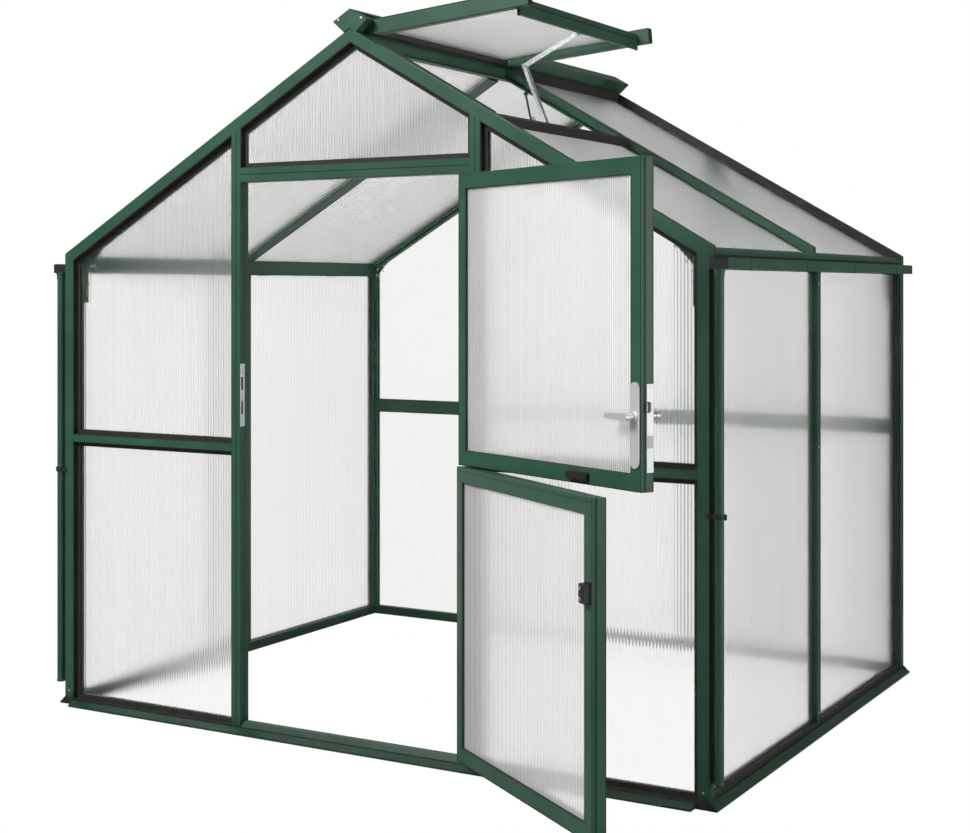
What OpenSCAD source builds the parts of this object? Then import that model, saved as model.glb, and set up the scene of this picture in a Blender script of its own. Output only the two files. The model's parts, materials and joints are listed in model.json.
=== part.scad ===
// Gable-front greenhouse with a stable door, a roof vent and twin-wall glazing.
// X runs along the front wall, +Y into the building, Z up from the ground.
// The front faces of the frame lie on Y = 0 and the doorway is centred on X = 0.

/* [Building] */
// Width over the corner posts
width = 2500; // [1800:10:3400]
// Depth over the corner posts
depth = 2000; // [1600:10:4000]
// Height of the eaves at the outer faces
eaves_h = 1630; // [1500:5:2200]
// Roof pitch in degrees
pitch = 30; // [22:1:40]

/* [Frame profiles] */
// Visible width of a post or rafter
nose_w = 38; // [28:1:60]
// Depth of the frame from its outer to its inner face
frame_d = 45; // [42:1:70]
// Depth at which the glazing starts behind the outer faces
rebate_d = 25; // [20:1:30]
// Thickness of the glazing sheets
sheet_t = 6; // [4:0.5:8]
// Width of the rubber glazing beads
bead_w = 17; // [10:1:24]
// Depth of the other beads' front faces behind the outer faces
bead_set = 8; // [2:1:14]
// Depth of the end wall beads' lips behind the outer faces
bead_lip = 1; // [0.5:0.5:6]
// Thickness of the end wall beads' lips
bead_lip_t = 2.5; // [2:0.5:6]
// Thickness of the end wall beads' feet on the sheets
bead_foot_t = 5; // [3:0.5:10]
// Reach of the inner flanges past the visible face
flange_reach = 17; // [8:1:30]
// Running gap around each glazing sheet
sheet_gap = 2; // [1:0.5:4]
// Width of the bars between two sheets of a side wall or roof slope
bar_w = 40; // [30:1:60]
// Height of the side wall bars above the glazing
bar_proud = 16; // [8:1:24]
// Thickness of the web between two sheets
web_t = 4; // [2:0.5:6]
// Half width of the bars' inner flange
bar_flange = 38; // [20:1:60]
// Thickness of that flange
bar_flange_t = 6; // [3:1:12]

/* [Base] */
// Height of the base rail
base_h = 20; // [15:1:40]
// Reach of the sloping skirt in front of the end walls
skirt_out = 32; // [10:1:45]
// Reach of the skirt beside the side walls
side_skirt = 24; // [10:1:45]
// Height of the skirt at its outer edge
skirt_tip = 7; // [3:1:12]
// Height of the corner blocks under the posts
block_h = 26; // [22:1:50]

/* [Doorway] */
// Clear width between the jambs
doorway_w = 900; // [700:10:1000]
// Width of a door jamb
jamb_w = 37; // [30:1:60]
// Height of the underside of the header
header_z = 1864; // [1700:5:2000]
// Height of the header
header_h = 48; // [35:1:70]
// Height of the top of the sill
sill_z = 36; // [30:1:60]
// Clear width between the studs of the rear wall
rear_bay_w = 857; // [500:1:1000]

/* [Rails] */
// Height of the underside of the rails in the end walls
rail_z = 952; // [700:5:1200]
// Height of those rails
rail_h = 25; // [20:1:40]
// Height of the nose of the eaves beams
eaves_nose_h = 34; // [25:1:60]

/* [Ridge] */
// Half width of the ridge beam across the slopes
ridge_reach = 32; // [26:1:50]
// Drop of the ridge beam's top below the rafters' top
ridge_sink = 5; // [5:1:10]
// Width of the seals beside the ridge beam
seal_w = 8; // [5:1:12]
// Height of the ridge cap above the rafters
cap_rise = 63; // [50:1:90]
// Half width of the ridge cap
cap_half_w = 66; // [50:1:90]
// Half width of the cap's stem
stem_half_w = 17.5; // [10:0.5:18]
// Thickness of the cap's sheet
cap_t = 4; // [2:0.5:6]
// Thickness of the cap's end plates
plate_t = 3; // [2:0.5:5]

/* [Vent] */
// Distance of the vent's lower bar from the ridge
vent_sill_x = 520; // [400:2:700]
// Width of that bar
vent_sill_w = 18; // [10:1:40]
// Opening angle of the vent from the roof slope
vent_open = 35; // [20:1:45]
// Length of the vent's side rails
vent_len = 615; // [500:1:760]
// Height of the vent's side rails
vent_rail_h = 53; // [40:1:60]
// Width of the vent's side rails
vent_rail_w = 30; // [20:1:40]
// Running gap between the vent and the rafters
vent_gap = 4; // [2:1:20]
// Drop of the vent's lower rail below its sheet
vent_drop = 45; // [30:1:55]
// Distance of the lower rail's outer face from the hinge
vent_lip = 570; // [450:1:700]
// Thickness of the lower rail's flap
vent_flap_t = 12; // [6:1:20]

/* [Rainwater] */
// Width of the gutters
gutter_w = 55; // [40:1:80]
// Height of the gutters
gutter_h = 31; // [24:1:50]
// Wall of the gutters
gutter_t = 3; // [2:0.5:5]
// Length of the gutters
gutter_len = 1925; // [1500:5:3900]
// Diameter of the downpipes
pipe_d = 27; // [20:1:45]
// Distance of the downpipes' axes behind the front faces
pipe_y = 8; // [5:1:40]
// Height of the foot of the downpipes
pipe_foot = 77; // [50:1:200]
// Height of the pipe clips
clip_z = 840; // [400:5:1200]

/* [Doors] */
// Opening angle of the upper door
upper_angle = 155; // [90:1:168]
// Opening angle of the lower door
lower_angle = 145; // [90:1:168]
// Gap between a leaf and a jamb
leaf_gap = 17; // [16:0.5:22]
// Gap above, between and below the leaves
leaf_split = 5; // [5:0.5:8]
// Thickness of a leaf
leaf_t = 41; // [38:1:50]
// Distance of a closed leaf's outer face in front of the frame
leaf_out = 16; // [12:1:22]
// Height of the split between the leaves
split_z = 954; // [800:1:1100]
// Width of the hinge stiles
hinge_stile = 37; // [30:1:60]
// Width of the lock stiles
lock_stile = 44; // [40:1:70]
// Height of the leaves' rails
leaf_rail = 46; // [35:1:70]
// Depth of the glazing behind a leaf's inner face
leaf_sheet_set = 8; // [5:1:12]
// Depth at which the leaf's edge steps outward
edge_set = 14; // [14:0.5:18]
// Size of that step
edge_step = 3; // [1:0.5:5]

/* [Door hardware] */
// Offset of the hinge pins from the closed leaf's edge
pin_off = 12; // [10:0.5:14]
// Diameter of the hinge knuckles
knuckle_d = 14; // [12:0.5:16]
// Diameter of the hinge pins
pin_d = 8; // [6:0.5:9]
// Height of the spindle of the lever handle
spindle_z = 1161; // [1100:1:1250]
// Distance of the spindle from the leaf's free edge
spindle_set = 23; // [18:1:30]
// Length of the levers
lever_len = 86; // [60:1:120]
// Stand-off of the levers
lever_off = 36; // [25:1:50]
// Thickness of the levers
lever_d = 15; // [10:1:18]
// Length of the handle plates
handle_plate_l = 232; // [150:1:260]
// Width of the handle plates
handle_plate_w = 36; // [28:1:40]
// Height of the catch on the lower door
catch_z = 702; // [500:1:850]

/* [Hidden] */
$fn = 40;

GREEN = [0.20, 0.36, 0.28];
BLACK = [0.12, 0.12, 0.12];
CLEAR = [0.85, 0.87, 0.87, 0.6];
STEEL = [0.72, 0.73, 0.74];

half_w = width / 2;
mid_y = depth / 2;
// Hair-line joint between two parts that meet, and overshoot of a cut
joint = 0.5;
cut = 1;
seat = joint / 2;
flange_u = rebate_d + sheet_t + joint;
flange_end = nose_w + flange_reach;
rail_flange_z = base_h + flange_reach;

jamb_in = doorway_w / 2;
jamb_out = jamb_in + jamb_w;
stud_in = rear_bay_w / 2;
stud_out = stud_in + jamb_w;
beam_z = roof_z(half_w, flange_u) - eaves_nose_h;

// Height of a plane that lies v below the rafters' outer faces, at a distance x from the ridge
function roof_z(x, v) = eaves_h + (half_w - abs(x)) * tan(pitch) - v / cos(pitch);

// Outline under the roof between x0 and x1, from z0 up to depth v, or to a flat top at z1
function wall_outline(x0, x1, z0, v, z1) = z1 != undef
    ? [[x0, z0], [x1, z0], [x1, z1], [x0, z1]]
    : x0 < 0 && x1 > 0
        ? [[x0, z0], [x1, z0], [x1, roof_z(x1, v)], [0, roof_z(0, v)], [x0, roof_z(x0, v)]]
        : [[x0, z0], [x1, z0], [x1, roof_z(x1, v)], [x0, roof_z(x0, v)]];

// Outline of a pane opening, shrunk by i on every side
function pane_outline(p, i) = p[3] == undef
    ? wall_outline(p[0] + i, p[1] - i, p[2] + i, nose_w + i)
    : wall_outline(p[0] + i, p[1] - i, p[2] + i, 0, p[3] - i);

function band_outline(x0, x1, v0, v1) =
    [[x0, roof_z(x0, v0)], [x1, roof_z(x1, v0)], [x1, roof_z(x1, v1)], [x0, roof_z(x0, v1)]];

module along_y(y0, y1) {
    translate([0, y1, 0])
        rotate([90, 0, 0])
            linear_extrude(y1 - y0)
                children();
}

module along_x(x0, x1) {
    translate([x0, 0, 0])
        rotate([90, 0, 90])
            linear_extrude(x1 - x0)
                children();
}

module block(x0, x1, y0, y1, z0, z1) {
    translate([x0, y0, z0])
        cube([x1 - x0, y1 - y0, z1 - z0]);
}

// Flat bar with round ends of widths w0 and w1, from the origin along X
module round_bar(len, w0, w1) {
    circle(d = w0);
    translate([len, 0])
        circle(d = w1);
    polygon([[0, -w0 / 2], [len, -w1 / 2], [len, w1 / 2], [0, w0 / 2]]);
}

module both_sides() {
    children();
    mirror([1, 0, 0])
        children();
}

module rear_side() {
    translate([0, depth, 0])
        mirror([0, 1, 0])
            children();
}

// Upright slab of the wall frame whose top follows the roof at depth v
module wall_slab(x0, x1, y0, y1, z0, v) {
    along_y(y0, y1)
        polygon(wall_outline(x0, x1, z0, v));
}

// Slab along one roof slope between depths v0 and v1
module slope_slab(x0, x1, v0, v1, y0, y1) {
    along_y(y0, y1)
        polygon(band_outline(x0, x1, v0, v1));
}

// ---- wall frame ----

module corner_post() {
    wall_slab(half_w - nose_w, half_w, 0, nose_w, block_h, nose_w);
    wall_slab(half_w - frame_d, half_w - nose_w, flange_u, frame_d, rail_flange_z, nose_w);
    wall_slab(half_w - nose_w, half_w - flange_u, nose_w, frame_d, rail_flange_z, nose_w);
    wall_slab(half_w - flange_end, half_w - frame_d, flange_u, frame_d, rail_flange_z, flange_end);
    block(half_w - frame_d, half_w - flange_u, frame_d, flange_end, rail_flange_z, beam_z);
}

module front_corner_posts() {
    color(GREEN)
        both_sides()
            corner_post();
}

module rear_corner_posts() {
    color(GREEN)
        rear_side()
            both_sides()
                corner_post();
}

module side_mid_post() {
    block(half_w - rebate_d, half_w - rebate_d + bar_proud, mid_y - bar_w / 2, mid_y + bar_w / 2,
        base_h, beam_z);
    block(half_w - flange_u, half_w - rebate_d, mid_y - web_t / 2, mid_y + web_t / 2,
        base_h, beam_z);
    block(half_w - flange_u - bar_flange_t, half_w - flange_u, mid_y - bar_flange,
        mid_y + bar_flange, rail_flange_z, beam_z);
}

module side_mid_posts() {
    color(GREEN)
        both_sides()
            side_mid_post();
}

// Upright from x0 to x1 with a flange behind the pane on its outer side, or on both sides
module jamb(x0, x1, inner_flange) {
    wall_slab(x0, x1, 0, flange_u, base_h, nose_w);
    wall_slab(x0, x1, flange_u, frame_d, base_h, flange_end);
    wall_slab(x1, x1 + flange_reach, flange_u, frame_d, rail_flange_z, flange_end);
    if (inner_flange)
        wall_slab(x0 - flange_reach, x0, flange_u, frame_d, rail_flange_z, flange_end);
}

module door_jambs() {
    color(GREEN)
        both_sides()
            jamb(jamb_in, jamb_out, false);
}

module rear_studs() {
    color(GREEN)
        rear_side()
            both_sides()
                jamb(stud_in, stud_out, true);
}

// Cross rail between two uprights, with flanges behind the panes above and below
module cross_rail(x0, x1, z0, z1, low_flange) {
    block(x0, x1, 0, frame_d, z0, z1);
    block(x0, x1, flange_u, frame_d, low_flange ? z0 - flange_reach : z0, z1 + flange_reach);
}

module door_header() {
    color(GREEN)
        cross_rail(-jamb_in, jamb_in, header_z, header_z + header_h, false);
}

module side_rails(x0) {
    both_sides()
        cross_rail(x0 + flange_reach, half_w - flange_end, rail_z, rail_z + rail_h, true);
    both_sides()
        block(x0, x0 + flange_reach, 0, flange_u, rail_z, rail_z + rail_h);
    both_sides()
        block(half_w - flange_end, half_w - nose_w, 0, flange_u, rail_z, rail_z + rail_h);
}

module front_mid_rails() {
    color(GREEN)
        side_rails(jamb_out);
}

module rear_mid_rails() {
    color(GREEN)
        rear_side() {
            side_rails(stud_out);
            cross_rail(flange_reach - stud_in, stud_in - flange_reach, rail_z, rail_z + rail_h, true);
            block(-stud_in, stud_in, 0, flange_u, rail_z, rail_z + rail_h);
        }
}

// ---- base ----

// Section of a base rail with a skirt of the given reach, from the inner face outward
module base_section(reach, flanged) {
    polygon([
        [frame_d, 0], [frame_d, base_h], [0, base_h], [-reach, skirt_tip], [-reach, 0]
    ]);
    if (flanged)
        translate([flange_u, 0])
            square([frame_d - flange_u, rail_flange_z]);
}

module end_base_rail(x0) {
    along_x(frame_d - half_w, half_w - frame_d)
        base_section(skirt_out, false);
    both_sides()
        along_x(x0, half_w - frame_d)
            base_section(skirt_out, true);
}

module front_base_rail() {
    color(GREEN)
        end_base_rail(jamb_out);
}

module rear_base_rail() {
    color(GREEN)
        rear_side() {
            end_base_rail(stud_out);
            along_x(-stud_in, stud_in)
                base_section(skirt_out, true);
        }
}

module side_base_rail() {
    translate([half_w, 0, 0])
        mirror([1, 0, 0]) {
            along_y(nose_w, depth - nose_w)
                base_section(side_skirt, false);
            along_y(frame_d, depth - frame_d)
                base_section(side_skirt, true);
            along_y(0, depth)
                polygon([[0, 0], [0, base_h], [-side_skirt, skirt_tip], [-side_skirt, 0]]);
        }
}

module side_base_rails() {
    color(GREEN)
        both_sides()
            side_base_rail();
}

module door_sill() {
    sill_rise = sill_z - base_h;
    color(GREEN)
        along_x(-jamb_in, jamb_in)
            translate([0, base_h])
                polygon([
                    [sill_rise / 8, 0], [sill_rise, sill_rise], [frame_d - sill_rise / 2, sill_rise],
                    [frame_d, sill_rise / 2], [frame_d, 0]
                ]);
}

module corner_block() {
    block(half_w - frame_d, half_w, 0, nose_w, 0, base_h);
    block(half_w - nose_w, half_w, 0, nose_w, 0, block_h);
}

module base_corner_blocks() {
    color(BLACK)
        both_sides() {
            corner_block();
            rear_side()
                corner_block();
        }
}

// ---- roof frame ----

module end_rafter() {
    inner_x = half_w - frame_d;
    slope_slab(joint / 2, half_w, 0, nose_w, 0, nose_w);
    slope_slab(joint / 2, inner_x, flange_u, flange_end, flange_u, frame_d);
    slope_slab(joint / 2, inner_x, flange_u, frame_d, flange_u, flange_end);
}

module front_rafters() {
    color(GREEN)
        both_sides()
            end_rafter();
}

module rear_rafters() {
    color(GREEN)
        rear_side()
            both_sides()
                end_rafter();
}

module middle_rafter() {
    slope_slab(ridge_reach, half_w - bead_w - bead_set - joint, 0, rebate_d,
        mid_y - bar_w / 2, mid_y + bar_w / 2);
    slope_slab(ridge_reach, half_w - rebate_d, rebate_d, flange_u,
        mid_y - web_t / 2, mid_y + web_t / 2);
    slope_slab(ridge_reach, half_w - frame_d, flange_u, flange_u + bar_flange_t,
        mid_y - bar_flange, mid_y + bar_flange);
}

module middle_rafters() {
    color(GREEN)
        both_sides()
            middle_rafter();
}

module eaves_beam() {
    nose_x = half_w - flange_u;
    inner_x = half_w - frame_d;
    along_y(nose_w, depth - nose_w)
        polygon([
            [nose_x, beam_z], [half_w, beam_z],
            [half_w, roof_z(half_w, flange_u)], [nose_x, roof_z(nose_x, flange_u)]
        ]);
    along_y(frame_d, depth - frame_d)
        polygon([
            [inner_x, beam_z], [nose_x, beam_z],
            [nose_x, roof_z(nose_x, flange_u)], [inner_x, roof_z(inner_x, flange_u)]
        ]);
}

module eaves_beams() {
    color(GREEN)
        both_sides()
            eaves_beam();
}

module eaves_trims() {
    color(GREEN)
        both_sides()
            slope_slab(half_w - bead_w, half_w, rebate_d / 2, rebate_d,
                nose_w + seal_w + joint, depth - nose_w - seal_w - joint);
}

module ridge_beam() {
    keel = stem_half_w / 2;
    color(GREEN) {
        along_y(nose_w, depth - nose_w)
            polygon([
                [-ridge_reach, roof_z(ridge_reach, ridge_sink)], [0, roof_z(0, ridge_sink)],
                [ridge_reach, roof_z(ridge_reach, ridge_sink)],
                [ridge_reach, roof_z(ridge_reach, flange_u)], [0, roof_z(0, flange_u)],
                [-ridge_reach, roof_z(ridge_reach, flange_u)]
            ]);
        along_y(flange_end, depth - flange_end)
            polygon([
                [-keel, roof_z(keel, rebate_d)], [keel, roof_z(keel, rebate_d)],
                [keel, roof_z(keel, frame_d)], [-keel, roof_z(keel, frame_d)]
            ]);
    }
}

cap_top_z = roof_z(0, 0) + cap_rise;
cap_lip_z = cap_top_z - cap_half_w * tan(pitch);
cap_foot_x = 4 * stem_half_w / 3;
stem_top_z = cap_top_z - cap_t - stem_half_w * tan(pitch);
bay_end = mid_y - bar_w / 2;

module cap_outline() {
    polygon([
        [0, cap_top_z], [cap_half_w, cap_lip_z], [cap_foot_x, roof_z(cap_foot_x, 0)],
        [0, roof_z(0, 0)], [-cap_foot_x, roof_z(cap_foot_x, 0)], [-cap_half_w, cap_lip_z]
    ]);
}

// Hollow cap over the ridge, cut back to its stem beside the vent
module ridge_cap() {
    color(GREEN) {
        difference() {
            along_y(0, depth)
                cap_outline();
            along_y(cap_t, depth - cap_t)
                polygon([
                    [0, cap_top_z - cap_t], [cap_half_w - 2 * cap_t, cap_lip_z],
                    [stem_half_w, roof_z(0, 0) + cap_t], [-stem_half_w, roof_z(0, 0) + cap_t],
                    [2 * cap_t - cap_half_w, cap_lip_z]
                ]);
            block(stem_half_w, cap_half_w + cut, nose_w, bay_end, roof_z(cap_half_w, 0), cap_top_z);
        }
        along_y(nose_w - cap_t, bay_end + cap_t)
            polygon([
                [stem_half_w - cap_t, roof_z(stem_half_w - cap_t, 0)],
                [stem_half_w, roof_z(stem_half_w, 0)], [stem_half_w, stem_top_z],
                [stem_half_w - cap_t, stem_top_z]
            ]);
        along_y(nose_w + joint, depth - nose_w - joint)
            polygon([
                [-stem_half_w, roof_z(stem_half_w, 0)], [0, roof_z(0, -cap_t)],
                [stem_half_w, roof_z(stem_half_w, 0)],
                [stem_half_w, roof_z(stem_half_w, ridge_sink - joint)],
                [0, roof_z(0, ridge_sink - joint)],
                [-stem_half_w, roof_z(stem_half_w, ridge_sink - joint)]
            ]);
        for (y = [-plate_t, depth])
            along_y(y, y + plate_t)
                cap_outline();
    }
}

// Black seals that close the ridge beam's sides above the glazing
module ridge_seals() {
    x0 = ridge_reach + seat;
    proud = -seal_w;
    color(BLACK) {
        mirror([1, 0, 0])
            for (y = [nose_w + joint, mid_y + bar_w / 2 + joint])
                slope_slab(x0, x0 + seal_w, proud, rebate_d, y, y + mid_y - nose_w - bar_w / 2 - 2 * joint);
        slope_slab(x0, x0 + seal_w, proud, rebate_d, mid_y + bar_w / 2 + joint, depth - nose_w - joint);
    }
}

// Black seals along both gable edges of the roof, proud of the rear rafters
module roof_seals() {
    x0 = ridge_reach + 2 * seal_w;
    color(BLACK) {
        both_sides()
            slope_slab(x0, half_w, -vent_gap, rebate_d, depth - nose_w - seal_w, depth - nose_w);
        mirror([1, 0, 0])
            slope_slab(x0, half_w, joint, rebate_d, nose_w, nose_w + seal_w);
        slope_slab(vent_sill_x + vent_sill_w + joint, half_w, joint, rebate_d,
            nose_w, nose_w + seal_w);
    }
}

// Plate that ties a corner post to its rafter on the inner face of an end wall
module gusset() {
    arm = 2 * frame_d;
    outer_x = half_w - frame_d - joint;
    foot_z = beam_z - flange_reach - arm;
    along_y(frame_d, frame_d + plate_t)
        polygon([
            [outer_x, foot_z], [outer_x, roof_z(outer_x, frame_d + joint)],
            [outer_x - arm, roof_z(outer_x - arm, frame_d + joint)],
            [outer_x - arm, roof_z(outer_x - arm, flange_end)],
            [outer_x - bead_w - bead_set, roof_z(outer_x, flange_end) - bead_w],
            [outer_x - bead_w - bead_set, foot_z]
        ]);
}

module corner_gussets() {
    color(GREEN)
        both_sides() {
            gusset();
            rear_side()
                gusset();
        }
}

// ---- glazing ----

// Two panes, one above the other, between x0 and x1 as [left, right, bottom, top],
// with no top for one under the rafters
function pane_pair(x0, x1) =
    [[x0, x1, base_h, rail_z], [x0, x1, rail_z + rail_h, undef]];

SIDE_PANES = pane_pair(jamb_out, half_w - nose_w);
GABLE_PANE = [-jamb_in, jamb_in, header_z + header_h, undef];
REAR_SIDE_PANES = pane_pair(stud_out, half_w - nose_w);
REAR_MID_PANES = pane_pair(-stud_in, stud_in);

module sheet(p) {
    along_y(rebate_d + seat, flange_u - seat)
        polygon(pane_outline(p, sheet_gap));
}

// Strip around a pane, w wide, from y0 back to the sheet
module bead_strip(p, w, y0) {
    along_y(y0, rebate_d)
        difference() {
            polygon(pane_outline(p, seat));
            polygon(pane_outline(p, w));
        }
}

// Rubber lip that lines the rebate, on a wider foot against the sheet
module bead_ring(p) {
    bead_strip(p, bead_lip_t, bead_lip);
    bead_strip(p, bead_w, rebate_d - bead_foot_t);
}

module front_panels() {
    color(CLEAR) {
        both_sides()
            for (p = SIDE_PANES)
                sheet(p);
        sheet(GABLE_PANE);
    }
}

module rear_panels() {
    color(CLEAR)
        rear_side() {
            both_sides()
                for (p = REAR_SIDE_PANES)
                    sheet(p);
            for (p = REAR_MID_PANES)
                sheet(p);
        }
}

module side_panels() {
    color(CLEAR)
        both_sides()
            for (y = [nose_w, mid_y + web_t / 2])
                block(half_w - flange_u + seat, half_w - rebate_d - seat, y + sheet_gap,
                    y + mid_y - nose_w - web_t / 2 - sheet_gap, base_h + sheet_gap, beam_z - sheet_gap);
}

module roof_sheet(x0, y0) {
    slope_slab(x0, half_w - cap_t, rebate_d + seat, flange_u - seat, y0 + sheet_gap,
        y0 + mid_y - nose_w - web_t / 2 - sheet_gap);
}

module left_roof_panels() {
    color(CLEAR)
        mirror([1, 0, 0])
            for (y = [nose_w, mid_y + web_t / 2])
                roof_sheet(ridge_reach + sheet_gap, y);
}

module right_roof_panels() {
    color(CLEAR) {
        roof_sheet(vent_sill_x + vent_sill_w / 2, nose_w);
        roof_sheet(ridge_reach + sheet_gap, mid_y + web_t / 2);
    }
}

module front_beads() {
    color(BLACK) {
        both_sides()
            for (p = SIDE_PANES)
                bead_ring(p);
        bead_ring(GABLE_PANE);
    }
}

module rear_beads() {
    color(BLACK)
        rear_side() {
            both_sides()
                for (p = REAR_SIDE_PANES)
                    bead_ring(p);
            for (p = REAR_MID_PANES)
                bead_ring(p);
        }
}

// Beads along the foot and the corner edge of each side wall sheet
module side_bead_pair() {
    x0 = half_w - rebate_d;
    x1 = half_w - bead_set;
    block(x0, x1, nose_w + bead_w + joint, mid_y - bar_w / 2, base_h, base_h + bead_w);
    block(x0, x1, nose_w, nose_w + bead_w, base_h, beam_z);
}

module side_beads() {
    color(BLACK)
        both_sides() {
            side_bead_pair();
            rear_side()
                side_bead_pair();
        }
}

// ---- roof vent ----

vent_y0 = nose_w + vent_gap;
vent_y1 = bay_end - vent_gap - vent_rail_w;
vent_x = stem_half_w + vent_rail_h / 2 * sin(vent_open - pitch) + joint;
vent_z = roof_z(0, 0) + joint;

// Black seal beside the opening, and the bar that closes it below
module vent_curb() {
    color(BLACK) {
        slope_slab(cap_half_w, vent_sill_x - joint, -vent_gap, rebate_d, nose_w, nose_w + seal_w);
        slope_slab(vent_sill_x, vent_sill_x + vent_sill_w, 0, rebate_d, nose_w, bay_end);
    }
}

// Places a part that is drawn along the vent, from its hinge outward
module on_vent() {
    translate([vent_x, 0, vent_z])
        rotate([0, pitch - vent_open, 0])
            children();
}

// Side view of a side rail, cut away where it swings over the ridge beam
module vent_rail_outline() {
    half_h = vent_rail_h / 2;
    heel = half_h - 2 * ridge_sink;
    polygon([
        [0, -heel], [0, half_h - ridge_sink], [2 * heel, half_h], [vent_len, half_h],
        [vent_len, -half_h], [4 * heel, -half_h]
    ]);
}

module vent_frame() {
    rail_top = vent_rail_h / 5;
    color(GREEN)
        on_vent() {
            for (y = [vent_y0, vent_y1])
                along_y(y, y + vent_rail_w)
                    vent_rail_outline();
            block(vent_lip - vent_flap_t, vent_lip, vent_y0 + vent_rail_w, vent_y1,
                -vent_drop, -rail_top);
            difference() {
                block(vent_lip - vent_rail_w, vent_lip, vent_y0, vent_y1 + vent_rail_w,
                    -rail_top, rail_top);
                block(vent_lip - vent_rail_w - cut, vent_lip - bead_set,
                    vent_y0 + vent_rail_w, vent_y1, -seat, sheet_t + seat);
            }
        }
}

// Black strip under the hinge edge of the vent's sheet
module vent_seal() {
    color(BLACK)
        on_vent()
            block(bead_w, 2 * bead_w, vent_y0 + vent_rail_w + joint, vent_y1 - joint,
                -bead_w - joint, -seat);
}

module vent_panel() {
    color(CLEAR)
        on_vent()
            block(joint, vent_lip - bead_set - joint, vent_y0 + vent_rail_w + joint, vent_y1 - joint,
                0, sheet_t);
}

// Flat bar between two points of the stay's plane, as [x, z]
module stay_bar(a, b, w, y, t) {
    along_y(y, y + t)
        translate(a)
            rotate(atan2(b[1] - a[1], b[0] - a[0]))
                round_bar(norm(b - a), w, w);
}

module vent_stay() {
    stay_y = (vent_y0 + vent_y1 + vent_rail_w) / 2;
    bar_t = 4;
    bar_wide = 16;
    arm_wide = 13;
    reach = vent_lip - vent_flap_t - bar_wide / 2;
    lean = vent_open - pitch;
    head = [vent_x + reach * cos(lean) + vent_drop * sin(lean) / 2,
        vent_z + reach * sin(lean) - vent_drop + bar_t];
    tray_x = vent_sill_x - 8 * bar_wide;
    tray = [tray_x, roof_z(tray_x, 9 * bar_t)];
    sill_end = [vent_sill_x - bar_wide / 2, roof_z(vent_sill_x - bar_wide / 2, 5 * bar_t)];
    foot = (tray + sill_end) / 2;
    knee = [foot[0] - 5.2 * bar_wide, foot[1] + 12.8 * bar_wide];
    color(STEEL) {
        stay_bar(head, knee, bar_wide, stay_y, bar_t);
        stay_bar(knee, foot, arm_wide, stay_y + 2 * bar_t, bar_t);
        stay_bar(knee, foot, arm_wide, stay_y - 2 * bar_t, bar_t);
        stay_bar(tray, sill_end, bar_wide, stay_y, bar_t);
        for (p = [head, knee, foot])
            translate([p[0], stay_y - 3 * bar_t, p[1]])
                rotate([-90, 0, 0])
                    cylinder(d = bar_wide / 2, h = 7 * bar_t);
    }
}

// ---- rainwater ----

gutter_z = beam_z + gutter_t / 3;
pipe_x = half_w + gutter_w / 2;

module gutter() {
    along_y(2 * gutter_t, gutter_len - 2 * gutter_t)
        translate([half_w, gutter_z])
            difference() {
                square([gutter_w, gutter_h]);
                translate([gutter_t, gutter_t])
                    square([gutter_w - 2 * gutter_t, gutter_h]);
            }
}

module gutters() {
    color(GREEN)
        both_sides()
            gutter();
}

module gutter_caps() {
    color(BLACK)
        both_sides()
            for (y = [0, gutter_len - 2 * gutter_t])
                block(half_w, half_w + gutter_w + joint, y, y + 2 * gutter_t,
                    gutter_z, gutter_z + gutter_h + joint);
}

module downpipes() {
    color(GREEN)
        both_sides()
            translate([pipe_x, pipe_y, pipe_foot])
                difference() {
                    cylinder(d = pipe_d, h = gutter_z - pipe_foot);
                    translate([0, 0, -cut])
                        cylinder(d = pipe_d - gutter_t, h = gutter_z - pipe_foot + 2 * cut);
                }
}

module pipe_clip() {
    clip_h = 16;
    clip_t = 3;
    strap_x = half_w - gutter_t * clip_t;
    translate([0, 0, clip_z]) {
        difference() {
            union() {
                translate([pipe_x, pipe_y, 0])
                    cylinder(d = pipe_d + 2 * clip_t, h = clip_h);
                block(half_w, pipe_x, 0, clip_t, 0, clip_h);
                block(pipe_x, pipe_x + pipe_d / 2 + 3 * clip_t, pipe_y - clip_t, pipe_y + clip_t,
                    0, clip_h);
            }
            translate([pipe_x, pipe_y, -cut])
                cylinder(d = pipe_d + joint, h = clip_h + 2 * cut);
        }
        block(strap_x, half_w + clip_t, -clip_t, 0, 0, clip_h);
        block(half_w, half_w + clip_t, -clip_t, clip_t, 0, clip_h);
    }
}

module pipe_clips() {
    color(BLACK)
        both_sides()
            pipe_clip();
}

// ---- doors ----

leaf_x = jamb_in - leaf_gap;
leaf_y0 = -leaf_out;
leaf_y1 = leaf_t - leaf_out;
edge_y = leaf_y1 - edge_set;
leaf_sheet_y = leaf_y1 - leaf_sheet_set - sheet_t;
pin_x = leaf_x + pin_off;
pin_y = leaf_y0 + pin_off / 3;
lower_z0 = sill_z + leaf_split + 2;
upper_z0 = split_z + leaf_split;
upper_z1 = header_z - leaf_split;

// Turns a part that is drawn on the closed leaf to its open position
module opened(angle) {
    translate([pin_x, pin_y, 0])
        rotate([0, 0, angle])
            translate([-pin_x, -pin_y, 0])
                children();
}

// Outline of a leaf's opening in front view, grown by g
module leaf_opening(z0, z1, g) {
    translate([lock_stile - leaf_x - g, z0 + leaf_rail - g])
        square([2 * leaf_x - lock_stile - hinge_stile + 2 * g, z1 - z0 - 2 * leaf_rail + 2 * g]);
}

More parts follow.
